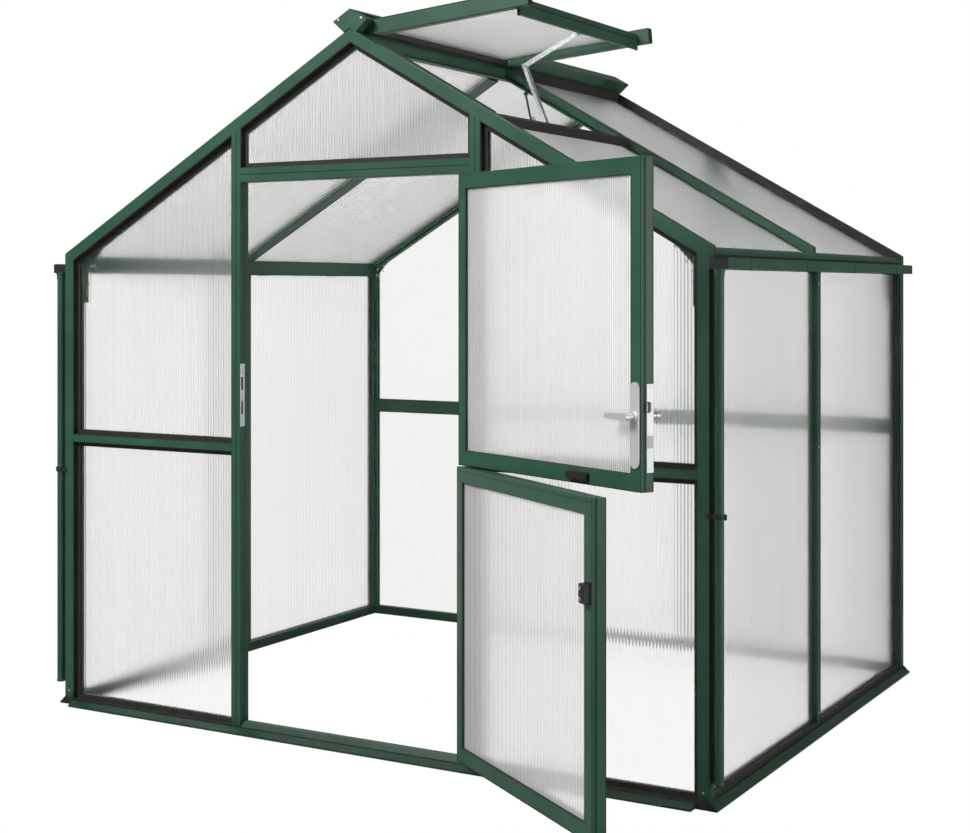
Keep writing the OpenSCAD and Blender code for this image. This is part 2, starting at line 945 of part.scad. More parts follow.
module leaf_frame(z0, z1) {
    along_y(leaf_y0, edge_y)
        translate([-leaf_x - edge_step, z0])
            square([edge_step, z1 - z0]);
    difference() {
        along_y(leaf_y0, leaf_y1)
            difference() {
                translate([-leaf_x, z0])
                    square([2 * leaf_x, z1 - z0]);
                leaf_opening(z0, z1, 0);
            }
        along_y(leaf_sheet_y, leaf_sheet_y + sheet_t)
            leaf_opening(z0, z1, bead_set);
    }
}

module leaf_sheet(z0, z1) {
    along_y(leaf_sheet_y + joint / 2, leaf_sheet_y + sheet_t - joint / 2)
        leaf_opening(z0, z1, bead_set - sheet_gap);
}

hinge_h = 24;
hinge_inset = 88;
pin_clear = 0.4;

// Knuckle of a leaf, with the pin that stands in the bracket below it
module leaf_knuckle(z) {
    translate([pin_x, pin_y, z])
        cylinder(d = knuckle_d, h = hinge_h);
    translate([pin_x, pin_y, z - hinge_h])
        cylinder(d = pin_d, h = hinge_h + cut);
    block(leaf_x, pin_x, leaf_y0, leaf_y0 + pin_d, z, z + hinge_h);
}

module leaf_knuckles(z0, z1) {
    leaf_knuckle(z0 + hinge_inset);
    leaf_knuckle(z1 - hinge_inset);
}

module hinge_bracket(z) {
    strap = 28;
    z0 = z - hinge_h - joint;
    difference() {
        union() {
            translate([pin_x, pin_y, z0])
                cylinder(d = knuckle_d, h = hinge_h);
            block(pin_x + pin_d / 4, jamb_in + pin_d / 2, pin_y - pin_d / 4, 0, z0, z0 + hinge_h);
            block(jamb_in + joint, jamb_in + strap, -plate_t, 0, z0, z0 + hinge_h);
        }
        translate([pin_x, pin_y, z0 - cut])
            cylinder(d = pin_d + 2 * pin_clear, h = hinge_h + 2 * cut);
    }
}

module hinge_brackets() {
    color(GREEN)
        for (z = [lower_z0 + hinge_inset, split_z - hinge_inset,
                upper_z0 + hinge_inset, upper_z1 - hinge_inset])
            hinge_bracket(z);
}

spindle_x = -leaf_x + spindle_set;
spindle_d = 10;
hub_d = 20;
neck_d = 16;
handle_t = 5;
// Height of the plate's upper round centre above the spindle
handle_drop = 75;
latch_h = 26;
latch_w = 8;
latch_y = edge_y - latch_w - cut;
face_plate_t = 2;
face_plate_drop = 149;
face_plate_z0 = spindle_z - face_plate_drop;
face_plate_l = 237;

module upper_door_frame() {
    color(GREEN)
        opened(upper_angle)
            difference() {
                union() {
                    leaf_frame(upper_z0, upper_z1);
                    leaf_knuckles(upper_z0, upper_z1);
                }
                translate([spindle_x, leaf_y1 + cut, spindle_z])
                    rotate([90, 0, 0])
                        cylinder(d = spindle_d + 2, h = leaf_t + 2 * cut);
            }
}

module upper_door_panel() {
    color(CLEAR)
        opened(upper_angle)
            leaf_sheet(upper_z0, upper_z1);
}

// Long plate with round ends around the spindle, on the face at y0
module handle_plate(y0) {
    straight = handle_plate_l - handle_plate_w;
    translate([spindle_x, 0, spindle_z])
        along_y(y0, y0 + handle_t)
            difference() {
                translate([0, handle_drop - straight])
                    rotate(90)
                        round_bar(straight, handle_plate_w, handle_plate_w);
                circle(d = spindle_d + 2);
            }
}

module upper_door_lock() {
    edge_x = -leaf_x - edge_step;
    plate_y0 = leaf_y0 + face_plate_t;
    color(STEEL)
        opened(upper_angle) {
            handle_plate(leaf_y1);
            handle_plate(leaf_y0 - handle_t);
            block(edge_x - face_plate_t, edge_x, plate_y0, edge_y - face_plate_t,
                face_plate_z0, face_plate_z0 + face_plate_l);
            block(edge_x - 3 * face_plate_t, edge_x - face_plate_t, latch_y, latch_y + latch_w,
                spindle_z + latch_h / 2, spindle_z + 3 * latch_h / 2);
        }
}

module upper_door_knob() {
    knob_x = -167;
    knob_l = 94;
    knob_h = 22;
    knob_t = 14;
    knob_z = upper_z0 + leaf_rail / 2;
    color(BLACK)
        opened(upper_angle)
            along_y(leaf_y1, leaf_y1 + knob_t)
                translate([knob_x - (knob_l - knob_h) / 2, knob_z])
                    round_bar(knob_l - knob_h, knob_h, knob_h);
}

module lower_door_frame() {
    color(GREEN)
        opened(lower_angle) {
            leaf_frame(lower_z0, split_z);
            leaf_knuckles(lower_z0, split_z);
        }
}

module lower_door_panel() {
    color(CLEAR)
        opened(lower_angle)
            leaf_sheet(lower_z0, split_z);
}

module lower_door_catch() {
    catch_w = 30;
    catch_h = 53;
    catch_t = 22;
    color(BLACK)
        opened(lower_angle)
            along_y(leaf_y1, leaf_y1 + catch_t)
                translate([lock_stile / 2 - leaf_x, catch_z])
                    square([catch_w, catch_h], center = true);
}

module lever_arm(y) {
    translate([spindle_x, 0, spindle_z])
        along_y(y, y + lever_d)
            round_bar(lever_len - lever_d / 2, hub_d, lever_d);
}

module door_lever() {
    in_y = leaf_y1 + handle_t;
    out_y = leaf_y0 - handle_t;
    color(STEEL)
        opened(upper_angle) {
            lever_arm(in_y + lever_off - lever_d);
            lever_arm(out_y - lever_off);
            translate([spindle_x, in_y + lever_off, spindle_z])
                rotate([90, 0, 0])
                    cylinder(d = spindle_d, h = in_y - out_y + 2 * lever_off);
            for (y = [in_y + joint, out_y - lever_off + lever_d - cut])
                translate([spindle_x, y, spindle_z])
                    rotate([-90, 0, 0])
                        cylinder(d = neck_d, h = lever_off - lever_d + cut - joint);
        }
}

module strike_plate() {
    slot_h = 44;
    slot_w = 11;
    slot_y = leaf_y0 + spindle_set - handle_t + joint;
    color(STEEL)
        difference() {
            block(-jamb_in, face_plate_t - jamb_in, 0, rebate_d - plate_t,
                face_plate_z0 + rebate_d, face_plate_z0 + face_plate_l);
            for (z = [spindle_z, spindle_z - 2 * slot_h + handle_t])
                block(-jamb_in - cut, face_plate_t + cut - jamb_in, slot_y, slot_y + slot_w,
                    z, z + slot_h);
        }
}

front_corner_posts();
rear_corner_posts();
side_mid_posts();
door_jambs();
rear_studs();
door_header();
front_mid_rails();
rear_mid_rails();
front_base_rail();
rear_base_rail();
side_base_rails();
door_sill();
base_corner_blocks();
front_rafters();
middle_rafters();
rear_rafters();
eaves_beams();
eaves_trims();
ridge_beam();
ridge_cap();
ridge_seals();
roof_seals();
corner_gussets();
front_panels();
rear_panels();
side_panels();
left_roof_panels();
right_roof_panels();
front_beads();
rear_beads();
side_beads();
vent_curb();
vent_frame();
vent_seal();
vent_panel();
vent_stay();
gutters();
gutter_caps();
downpipes();
pipe_clips();
hinge_brackets();
strike_plate();
upper_door_frame();
upper_door_panel();
upper_door_lock();
upper_door_knob();
lower_door_frame();
lower_door_panel();
lower_door_catch();
door_lever();
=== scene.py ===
"""Looks of the greenhouse: powder-coated frame, rubber beads, twin-wall sheets, hardware and studio."""

import json
import math

import bmesh
import bpy
from mathutils import Matrix, Vector


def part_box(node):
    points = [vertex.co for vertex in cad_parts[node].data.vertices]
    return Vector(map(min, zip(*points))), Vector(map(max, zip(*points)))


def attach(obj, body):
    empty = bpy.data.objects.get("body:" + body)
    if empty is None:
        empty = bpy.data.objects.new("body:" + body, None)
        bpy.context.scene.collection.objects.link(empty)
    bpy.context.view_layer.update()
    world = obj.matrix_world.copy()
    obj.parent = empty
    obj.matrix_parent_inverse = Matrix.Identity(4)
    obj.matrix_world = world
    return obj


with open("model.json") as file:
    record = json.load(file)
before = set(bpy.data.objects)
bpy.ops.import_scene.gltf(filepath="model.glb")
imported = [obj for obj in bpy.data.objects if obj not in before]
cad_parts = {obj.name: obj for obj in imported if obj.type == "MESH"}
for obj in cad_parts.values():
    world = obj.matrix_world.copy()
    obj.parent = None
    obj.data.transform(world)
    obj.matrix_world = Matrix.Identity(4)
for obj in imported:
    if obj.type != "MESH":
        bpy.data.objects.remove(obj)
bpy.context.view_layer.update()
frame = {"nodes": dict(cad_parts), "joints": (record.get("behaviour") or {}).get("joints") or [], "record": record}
NODES = frame["nodes"]
SLOTS = {part["node"]: part["material_slot"] for part in frame["record"]["subparts"]}
JOINTS = {joint["name"]: joint for joint in frame["joints"]}

MM = 0.001
X, Y, Z = Vector((1, 0, 0)), Vector((0, 1, 0)), Vector((0, 0, 1))


# ---- sizes of the frame ----

# The house over its corner posts, and the middle posts of its side walls
HALF_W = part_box("front_corner_posts")[1].x
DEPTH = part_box("rear_corner_posts")[1].y
MID_Y = DEPTH / 2
MID_FACE = HALF_W - 9 * MM

# Profiles: depth into the house, width of the nose on the outer face, and the stop behind a sheet
FRAME_D = 45 * MM
NOSE_W = 38 * MM
STOP_W = 17 * MM

# Doorway jambs, header and sill, the rear wall's studs and the height of the front rails' middle
JAMB_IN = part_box("door_header")[1].x
JAMB_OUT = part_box("door_jambs")[1].x - STOP_W
HEADER_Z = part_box("door_header")[0].z
SILL_TOP = 37 * MM
STUD_IN = 428.5 * MM
STUD_OUT = STUD_IN + 37 * MM
RAIL_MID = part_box("front_mid_rails")[0].z + STOP_W + 12.5 * MM

# Base rails and their corner blocks, eaves, slope and ridge cap
BASE_H = 20 * MM
BLOCK_TOP = 28 * MM
EAVES_H = 1.630
PITCH = math.radians(30)
CAP_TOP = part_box("ridge_cap")[1].z

# Gutters and downpipes
GUTTER_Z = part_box("gutters")[0].z
GUTTER_TOP = GUTTER_Z + 31 * MM
GUTTER_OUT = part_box("gutters")[1].x
GUTTER_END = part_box("gutters")[1].y
PIPE_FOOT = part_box("downpipes")[0].z

SIDES = (-1, 1)


def roof_z(x, v=0.0):
    """Height of the plane that lies v below the rafters' outer faces, at x."""
    return EAVES_H + (HALF_W - abs(x)) * math.tan(PITCH) - v / math.cos(PITCH)


def slope_out(s):
    """Outward direction of the slope on side s."""
    return Vector((s * math.sin(PITCH), 0.0, math.cos(PITCH)))


# ---- places of the pieces that stand turned ----

def door_turn(joint, degrees):
    """Carries what is drawn on the closed leaf to the open leaf."""
    pin = Vector((*JOINTS[joint]["pos_m"][:2], 0.0))
    turn = Matrix.Rotation(math.radians(degrees), 4, "Z")
    return Matrix.Translation(pin) @ turn @ Matrix.Translation(-pin)


UPPER_OPEN, LOWER_OPEN, VENT_LIFT = 155, 145, -5
VENT_HINGE_X, VENT_HINGE_RISE = 20.31 * MM, 0.5 * MM

UPPER = door_turn("upper_door_hinge", UPPER_OPEN)
LOWER = door_turn("lower_door_hinge", LOWER_OPEN)
VENT = (Matrix.Translation((VENT_HINGE_X, 0.0, roof_z(0) + VENT_HINGE_RISE))
        @ Matrix.Rotation(math.radians(VENT_LIFT), 4, "Y"))
REST = Matrix.Identity(4)


# ---- materials ----

class Value:
    """Output socket of a node, usable in arithmetic."""

    def __init__(self, tree, socket):
        self.tree = tree
        self.socket = socket

    def _math(self, operation, *others):
        return self.tree.node("ShaderNodeMath", *others, operation=operation)

    def __add__(self, other):
        return self._math("ADD", self, other)

    def __sub__(self, other):
        return self._math("SUBTRACT", self, other)

    def __rsub__(self, other):
        return self._math("SUBTRACT", other, self)

    def __mul__(self, other):
        return self._math("MULTIPLY", self, other)

    def sine(self):
        return self._math("SINE", self)

    def floor(self):
        return self._math("FLOOR", self)

    def absolute(self):
        return self._math("ABSOLUTE", self)

    def ramp(self, low, high):
        """0 below low, 1 above high, smooth between."""
        return self.tree.node("ShaderNodeMapRange", self, low, high, 0.0, 1.0,
                              interpolation_type="SMOOTHSTEP")

    __radd__ = __add__
    __rmul__ = __mul__


class Tree:
    """Node tree of one new material."""

    def __init__(self, name):
        self.material = bpy.data.materials.new(name)
        self.material.use_nodes = True
        self.nodes = self.material.node_tree.nodes
        self.links = self.material.node_tree.links
        self.nodes.clear()
        self.output = self.nodes.new("ShaderNodeOutputMaterial")

    def node(self, kind, *inputs, out=0, **settings):
        """New node with its first inputs filled in; the named output comes back."""
        node = self.nodes.new(kind)
        for key, value in settings.items():
            setattr(node, key, value)
        for socket, value in zip(node.inputs, inputs):
            self.feed(socket, value)
        return Value(self, node.outputs[out])

    def feed(self, socket, value):
        """Links a node's output to a socket, or sets the socket; None leaves it alone."""
        if isinstance(value, Value):
            self.links.new(value.socket, socket)
        elif socket.type == "RGBA" and isinstance(value, tuple):
            socket.default_value = (*value, 1.0)
        elif value is not None:
            socket.default_value = value

    def coords(self):
        """Place on the object, in metres."""
        return self.node("ShaderNodeTexCoord", out="Object")

    def noise(self, vector, scale, detail=3.0, rough=0.5):
        node = self.nodes.new("ShaderNodeTexNoise")
        self.feed(node.inputs["Vector"], vector)
        node.inputs["Scale"].default_value = scale
        node.inputs["Detail"].default_value = detail
        node.inputs["Roughness"].default_value = rough
        return Value(self, node.outputs["Fac"])

    def stretched(self, vector, sx, sy, sz):
        """Coordinates scaled by axis, so that a pattern on them runs long where the scale is low."""
        return self.node("ShaderNodeVectorMath", vector, (sx, sy, sz), operation="MULTIPLY")

    def mix(self, fac, a, b):
        """Blend of two colours: a at 0, b at 1."""
        node = self.nodes.new("ShaderNodeMix")
        node.data_type = "RGBA"
        self.feed(node.inputs["Factor"], fac)
        colours = [s for s in node.inputs if s.type == "RGBA"]
        self.feed(colours[0], a)
        self.feed(colours[1], b)
        return Value(self, next(s for s in node.outputs if s.type == "RGBA"))

    def bump(self, height, distance):
        """Normal of a relief that is distance metres deep."""
        node = self.nodes.new("ShaderNodeBump")
        node.inputs["Strength"].default_value = 1.0
        node.inputs["Distance"].default_value = distance
        self.feed(node.inputs["Height"], height)
        return Value(self, node.outputs["Normal"])

    def principled(self, **sockets):
        """Surface shader; a socket's name has _ for each space."""
        node = self.nodes.new("ShaderNodeBsdfPrincipled")
        for name, value in sockets.items():
            self.feed(node.inputs[name.replace("_", " ")], value)
        return Value(self, node.outputs["BSDF"])

    def finish(self, shader):
        self.links.new(shader.socket, self.output.inputs["Surface"])
        return self.material


def shaded(colour, share):
    """The colour, with share of its light."""
    return tuple(c * share for c in colour)


def powder_coat(name, colour, rough=0.44):
    """Satin powder coat: orange-peel bump, fine speckle, painted shade that darkens the foot near the ground, and
    faint dust low down.
    """
    t = Tree(name)
    at = t.coords()
    speckle = t.noise(at, 700.0, 2.0)
    cloud = t.noise(at, 5.0, 4.0)
    height = t.node("ShaderNodeSeparateXYZ", at, out="Z")
    lighter = tuple(c * 1.12 + 0.001 for c in colour)
    tone = t.mix(cloud.ramp(0.35, 0.68), shaded(colour, 0.9), lighter)
    tone = t.mix(speckle.ramp(0.35, 0.75) * 0.22, tone, shaded(colour, 0.7))
    # Painted shade: the colour darkens towards the ground, below about 6 cm.
    tone = t.mix((1.0 - height.ramp(0.02, 0.06)) * 0.8, tone, shaded(colour, 0.45))
    dust = (1.0 - height.ramp(0.0, 0.16)) * t.noise(at, 22.0, 5.0, 0.65).ramp(0.42, 0.75) * 0.08
    tone = t.mix(dust, tone, (0.16, 0.15, 0.12))
    peel = t.noise(at, 420.0, 1.0)
    gloss = rough - 0.05 + cloud * 0.08 + dust * 0.5
    return t.finish(t.principled(Base_Color=tone, Roughness=gloss, Specular_IOR_Level=0.3,
                                 Normal=t.bump(peel, 0.00006)))


def rubber(name, colour, rough=0.72):
    """Matt rubber with fine grain and a greyish bloom."""
    t = Tree(name)
    at = t.coords()
    grain = t.noise(at, 900.0, 2.0)
    bloom = t.noise(at, 14.0, 4.0, 0.6)
    tone = t.mix(bloom.ramp(0.4, 0.8) * 0.5, colour, tuple(c * 1.7 + 0.004 for c in colour))
    return t.finish(t.principled(Base_Color=tone, Roughness=rough - 0.06 + bloom * 0.12, IOR=1.45,
                                 Normal=t.bump(grain, 0.00004)))


def moulded(name, colour, rough=0.5):
    """Moulded plastic with spark-eroded grain."""
    t = Tree(name)
    at = t.coords()
    grain = t.node("ShaderNodeTexVoronoi", at, None, 1100.0)
    tone = t.mix(t.noise(at, 40.0, 3.0).ramp(0.3, 0.8) * 0.5, colour, shaded(colour, 1.5))
    return t.finish(t.principled(Base_Color=tone, Roughness=rough - 0.04 + grain * 0.1, IOR=1.46,
                                 Normal=t.bump(grain, 0.00005)))


def satin_metal(name, colour, rough, along):
    """Silver anodised metal, brushed along one direction."""
    t = Tree(name)
    at = t.coords()
    stretch = [12.0 if direction == along else 900.0 for direction in "xyz"]
    brush = t.noise(t.stretched(at, *stretch), 1.0, 3.0)
    smudge = t.noise(at, 30.0, 3.0)
    tone = t.mix(brush.ramp(0.3, 0.7) * 0.3, colour, shaded(colour, 0.82))
    return t.finish(t.principled(Base_Color=tone, Metallic=0.55,
                                 Roughness=rough - 0.06 + brush * 0.08 + smudge * 0.08,
                                 Normal=t.bump(brush, 0.00002)))


def galvanised(name):
    """Zinc-plated strip with a soft crystal pattern."""
    t = Tree(name)
    at = t.coords()
    crystal = t.node("ShaderNodeTexVoronoi", at, None, 160.0, out="Color")
    level = t.node("ShaderNodeSeparateXYZ", crystal, out="X")
    tone = t.mix(level, (0.44, 0.45, 0.46), (0.66, 0.67, 0.68))
    return t.finish(t.principled(Base_Color=tone, Metallic=0.85, Roughness=0.34 + level * 0.16,
                                 Normal=t.bump(t.noise(at, 260.0, 3.0), 0.00004)))


# How far the flutes and the sheet's unevenness tilt its face, and the tones of dull flutes and of dust
FLUTE_BEND, UNEVENNESS = 0.42, 0.04
STREAK_TONE, SHEET_DUST = (0.55, 0.56, 0.56), (0.72, 0.72, 0.7)


def twin_wall(name, clear, milk, rib_tone, tint, slope=False, rib_width=0.22, streaks=0.0, veil=0.0,
              flute=11 * MM):
    """Twin-wall sheet: hollow flutes that smear what lies behind across their run, and a milky share.

    clear is the share of the sheet that isn't milky, milk how much light the milky share lets
    through, rib_tone the shade of the webs, rib_width their share of a flute, streaks how strongly
    single flutes differ and veil how much milkier the flutes are than the webs between them.
    """
    t = Tree(name)
    at = t.coords()
    normal = t.node("ShaderNodeNewGeometry", out="Normal")
    if slope:
        across = t.node("ShaderNodeSeparateXYZ", at, out="Y")
        side = t.node("ShaderNodeCombineXYZ", 0.0, 1.0, 0.0)
    else:
        side = t.node("ShaderNodeVectorMath", normal, (0.0, 0.0, 1.0), operation="CROSS_PRODUCT")
        side = t.node("ShaderNodeVectorMath", side, operation="NORMALIZE")
        across = t.node("ShaderNodeVectorMath", at, side, operation="DOT_PRODUCT", out="Value")
    phase = across * (2.0 * math.pi / flute)
    from_web = (phase * 0.5).sine().absolute()
    wander = t.noise(t.stretched(at, 3.0, 3.0, 0.3), 1.0, 2.0) - 0.5
    tilt = phase.sine() * FLUTE_BEND + wander * UNEVENNESS
    push = t.node("ShaderNodeVectorMath", side, None, None, tilt, operation="SCALE")
    bent = t.node("ShaderNodeVectorMath", normal, push, operation="ADD")
    bent = t.node("ShaderNodeVectorMath", bent, operation="NORMALIZE")
    dust = t.noise(at, 9.0, 5.0, 0.6).ramp(0.45, 0.85) * 0.05
    tone = t.mix(from_web.ramp(0.0, rib_width), shaded(tint, rib_tone), tint)
    if streaks:
        flute_number = (across * (1.0 / flute)).floor()
        chance = t.node("ShaderNodeTexWhiteNoise", flute_number, noise_dimensions="1D")
        tone = t.mix(chance.ramp(0.75, 1.0) * streaks, tone, STREAK_TONE)
    tone = t.mix(dust, tone, SHEET_DUST)
    sharp = t.principled(Base_Color=tone, Roughness=0.02, IOR=1.1, Transmission_Weight=1.0,
                         Normal=bent)
    milky = t.principled(Base_Color=tone, Roughness=0.85, IOR=1.06, Transmission_Weight=milk,
                         Normal=bent)
    share = 1.0 - clear
    if veil:
        share = from_web.ramp(0.1, 0.75) * (2.0 * veil * share) + share * (1.0 - veil)
    return t.finish(t.node("ShaderNodeMixShader", share, sharp, milky))


GREEN = powder_coat("moss_powder_coat", (0.0255, 0.0885, 0.0515))
SHADE = powder_coat("groove_shadow", (0.004, 0.014, 0.009), 0.6)
RUBBER = rubber("glazing_rubber", (0.02, 0.0178, 0.016))
PLASTIC = moulded("black_plastic", (0.013, 0.013, 0.0125))
CHROME = satin_metal("anodised_silver", (0.68, 0.69, 0.7), 0.5, "z")
LEVER = satin_metal("anodised_lever", (0.66, 0.67, 0.68), 0.42, "x")
DULL = satin_metal("dull_silver", (0.42, 0.42, 0.43), 0.55, "z")
ZINC = galvanised("galvanised_strip")
# The upright, rear and side sheets are one polycarbonate; their different tints and clear and milky shares are
# painted light and shade set per wall, the rear copy darker and the side copy lighter.
WALL_SHEET = twin_wall("twin_wall_upright", 0.7, 0.95, 0.98, (0.965, 0.965, 0.96))
REAR_SHEET = twin_wall("twin_wall_rear", 0.6, 0.95, 0.99, (0.925, 0.925, 0.92))
SIDE_SHEET = twin_wall("twin_wall_side", 0.6, 0.92, 0.99, (0.995, 0.995, 0.99))
DOOR_SHEET = twin_wall("twin_wall_door", 0.6, 0.42, 0.93, (0.995, 0.995, 0.99),
                       rib_width=0.7, streaks=0.3, veil=0.85, flute=9 * MM)
ROOF_SHEET = twin_wall("twin_wall_slope", 0.5, 0.9, 0.5, (0.975, 0.975, 0.97),
                       slope=True, rib_width=0.9, flute=21 * MM)

# Finish by slot, the nodes with their own finish, and the rounding of edges in millimetres
LOOKS = {"green_frame": GREEN, "black_rubber": RUBBER, "black_plastic": PLASTIC,
         "clear_sheet": WALL_SHEET, "bright_steel": CHROME}
OWN_LOOK = {"left_roof_panels": ROOF_SHEET, "right_roof_panels": ROOF_SHEET, "vent_panel": ROOF_SHEET,
            "upper_door_panel": DOOR_SHEET, "lower_door_panel": DOOR_SHEET,
            "side_panels": SIDE_SHEET, "rear_panels": REAR_SHEET,
            "vent_stay": ZINC, "door_lever": LEVER, "ridge_seals": RUBBER}
ROUNDED = {"upper_door_frame": 1.2, "lower_door_frame": 1.2, "door_lever": 6.5, "upper_door_knob": 4.5,
           "lower_door_catch": 3.0, "upper_door_lock": 0.8, "vent_stay": 0.8, "gutter_caps": 1.0,
           "base_corner_blocks": 1.5, "vent_frame": 1.2, "gutters": 0.8, "front_corner_posts": 1.2,
           "rear_corner_posts": 1.2, "door_jambs": 1.0, "ridge_cap": 1.5}


# Points closer than this are one
SAME_POINT = 0.01 * MM


def round_edges(obj, width):
    """Joins the loose faces of a node and rounds its sharp edges by width millimetres."""
    weld = obj.modifiers.new("join", "WELD")
    weld.merge_threshold = 2 * SAME_POINT
    bevel = obj.modifiers.new("round", "BEVEL")
    bevel.width = width * MM
    bevel.segments = 4 if width > 2.0 else 2
    bevel.limit_method = "ANGLE"
    bevel.angle_limit = math.radians(38)
    bevel.harden_normals = True
    bevel.use_clamp_overlap = True


def dress_nodes():
    """Gives every node its finish and the moulded or cast ones their rounded edges."""
    for name, node in NODES.items():
        node.data.materials.clear()
        node.data.materials.append(OWN_LOOK.get(name, LOOKS[SLOTS[name]]))
        if name in ROUNDED:
            round_edges(node, ROUNDED[name])


# ---- mesh helpers ----

def make_piece(name, bm, material, body="frame", place=REST):
    """Finished object from a bmesh, carried by a body."""
    bmesh.ops.recalc_face_normals(bm, faces=bm.faces)
    mesh = bpy.data.meshes.new(name)
    bm.transform(place)
    bm.to_mesh(mesh)
    bm.free()
    mesh.materials.append(material)
    obj = bpy.data.objects.new(name, mesh)
    bpy.context.scene.collection.objects.link(obj)
    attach(obj, body)
    return obj


def smooth(obj, degrees=40):
    """Smooth shading, with edges sharper than degrees left crisp."""
    for face in obj.data.polygons:
        face.use_smooth = True
    bm = bmesh.new()
    bm.from_mesh(obj.data)
    for edge in bm.edges:
        if len(edge.link_faces) == 2 and edge.calc_face_angle() > math.radians(degrees):
            edge.smooth = False
    bm.to_mesh(obj.data)
    bm.free()


def soften(obj, width, segments=1):
    """Bevels the edges of a new piece."""
    bevel = obj.modifiers.new("round", "BEVEL")
    bevel.width = width
    bevel.segments = segments


def points_of(geometry):
    return [part for part in geometry if isinstance(part, bmesh.types.BMVert)]


def prism(bm, outline, offset):
    """Solid from a flat outline of points, pushed along offset."""
    foot = bm.faces.new([bm.verts.new(p) for p in outline])
    pushed = bmesh.ops.extrude_face_region(bm, geom=[foot], use_keep_orig=True)
    bmesh.ops.translate(bm, vec=offset, verts=points_of(pushed["geom"]))


def bar(bm, low, high):
    """Axis-aligned solid between two corners."""
    low, high = Vector(low), Vector(high)
    place = Matrix.Translation((low + high) / 2) @ Matrix.Diagonal((*(high - low), 1.0))
    bmesh.ops.create_cube(bm, size=1.0, matrix=place)


def side_bar(bm, s, near, far, y, z):
    """Solid on side s of the house, between the distances near and far from its middle."""
    x0, x1 = sorted((s * near, s * far))
    bar(bm, (x0, y[0], z[0]), (x1, y[1], z[1]))


def line(bm, start, end, across, width, out, proud):
    """Thin strip from start to end, width wide along across, standing proud along out."""
    start, end = Vector(start), Vector(end)
    half = Vector(across).normalized() * width / 2
    sink = Vector(out).normalized() * proud
    prism(bm, [start - half - sink, start + half - sink, end + half - sink, end - half - sink],
          sink * 2)


def turned(bm, centre, axis, profile, steps=20):
    """Solid of revolution about axis; profile lists (radius, height along the axis)."""
    centre, axis = Vector(centre), Vector(axis).normalized()
    side = axis.orthogonal().normalized()
    earlier = set(bm.verts)
    verts = [bm.verts.new(centre + axis * height + side * radius) for radius, height in profile]
    edges = [bm.edges.new(pair) for pair in zip(verts, verts[1:])]
    bmesh.ops.spin(bm, geom=verts + edges, cent=centre, axis=axis, angle=2 * math.pi, steps=steps,
                   use_merge=True, use_duplicate=False)
    bmesh.ops.remove_doubles(bm, verts=[v for v in bm.verts if v not in earlier], dist=SAME_POINT)


def screw(bm, centre, axis, radius=4.2 * MM, height=2.4 * MM):
    """Pan-head screw with a driver socket."""
    sunk = -0.4 * MM
    turned(bm, centre, axis, [
        (0.0, sunk), (radius, sunk), (radius, height * 0.35), (radius * 0.86, height * 0.8),
        (radius * 0.55, height), (radius * 0.42, height), (radius * 0.36, height * 0.35),
        (0.0, height * 0.3)], 14)


def tube(bm, start, end, radius, steps=12):
    """Round rod from start to end, with closed ends."""
    start, end = Vector(start), Vector(end)
    turn = (end - start).to_track_quat("Z", "Y").to_matrix().to_4x4()
    made = bmesh.ops.create_circle(bm, cap_ends=True, segments=steps, radius=radius,
                                   matrix=Matrix.Translation(start) @ turn)
    cap = made["verts"][0].link_faces[0]
    pushed = bmesh.ops.extrude_face_region(bm, geom=[cap], use_keep_orig=True)
    bmesh.ops.translate(bm, vec=end - start, verts=points_of(pushed["geom"]))


# ---- frame details ----

# Widths of the drawn grooves, and how far they stand out of the profile
GROOVE, FINE_GROOVE = 2.6 * MM, 1.6 * MM
PROUD = 0.25 * MM


def add_grooves():
    """Shadow grooves of the extrusions, on the front and rear walls and the slopes."""
    bm = bmesh.new()
    jamb_lip, post_gap = 23.5 * MM, 9 * MM
    for s in SIDES:
        jamb, stud = s * (JAMB_IN + JAMB_OUT) / 2, s * (STUD_IN + STUD_OUT) / 2
        line(bm, (jamb, 0, BASE_H), (jamb, 0, roof_z(jamb, NOSE_W)), X, GROOVE, Y, PROUD)
        line(bm, (stud, DEPTH, BASE_H), (stud, DEPTH, roof_z(stud, NOSE_W)), X, GROOVE, Y, PROUD)
        line(bm, (s * JAMB_IN, jamb_lip, SILL_TOP), (s * JAMB_IN, jamb_lip, HEADER_Z), Y, 2 * MM,
             X, PROUD)
        for y in (post_gap, DEPTH - post_gap):
            line(bm, (s * HALF_W, y, BLOCK_TOP), (s * HALF_W, y, GUTTER_Z), Y, 5 * MM, X, PROUD)
        high, low = s * 70 * MM, s * (HALF_W - 28 * MM)
        for y in (MID_Y - 14 * MM, MID_Y + 14 * MM):
            line(bm, (s * MID_FACE, y, BASE_H), (s * MID_FACE, y, GUTTER_Z), Y, FINE_GROOVE, X, PROUD)
            line(bm, (high, y, roof_z(high)), (low, y, roof_z(low)), Y, FINE_GROOVE, slope_out(s),
                 PROUD)
    for rise, width in ((26 * MM, GROOVE), (1 * MM, FINE_GROOVE)):
        z = HEADER_Z + rise
        line(bm, (-JAMB_IN, 0, z), (JAMB_IN, 0, z), Z, width, Y, PROUD)
    end, z = HALF_W - NOSE_W, BASE_H - 1 * MM
    for y, out in ((-2.5 * MM, -1), (DEPTH + 2.5 * MM, 1)):
        line(bm, (-end, y, z), (end, y, z), (0, out, -0.4), 5 * MM, (0, out * 0.4, 1), PROUD)
    make_piece("profile_grooves", bm, SHADE)


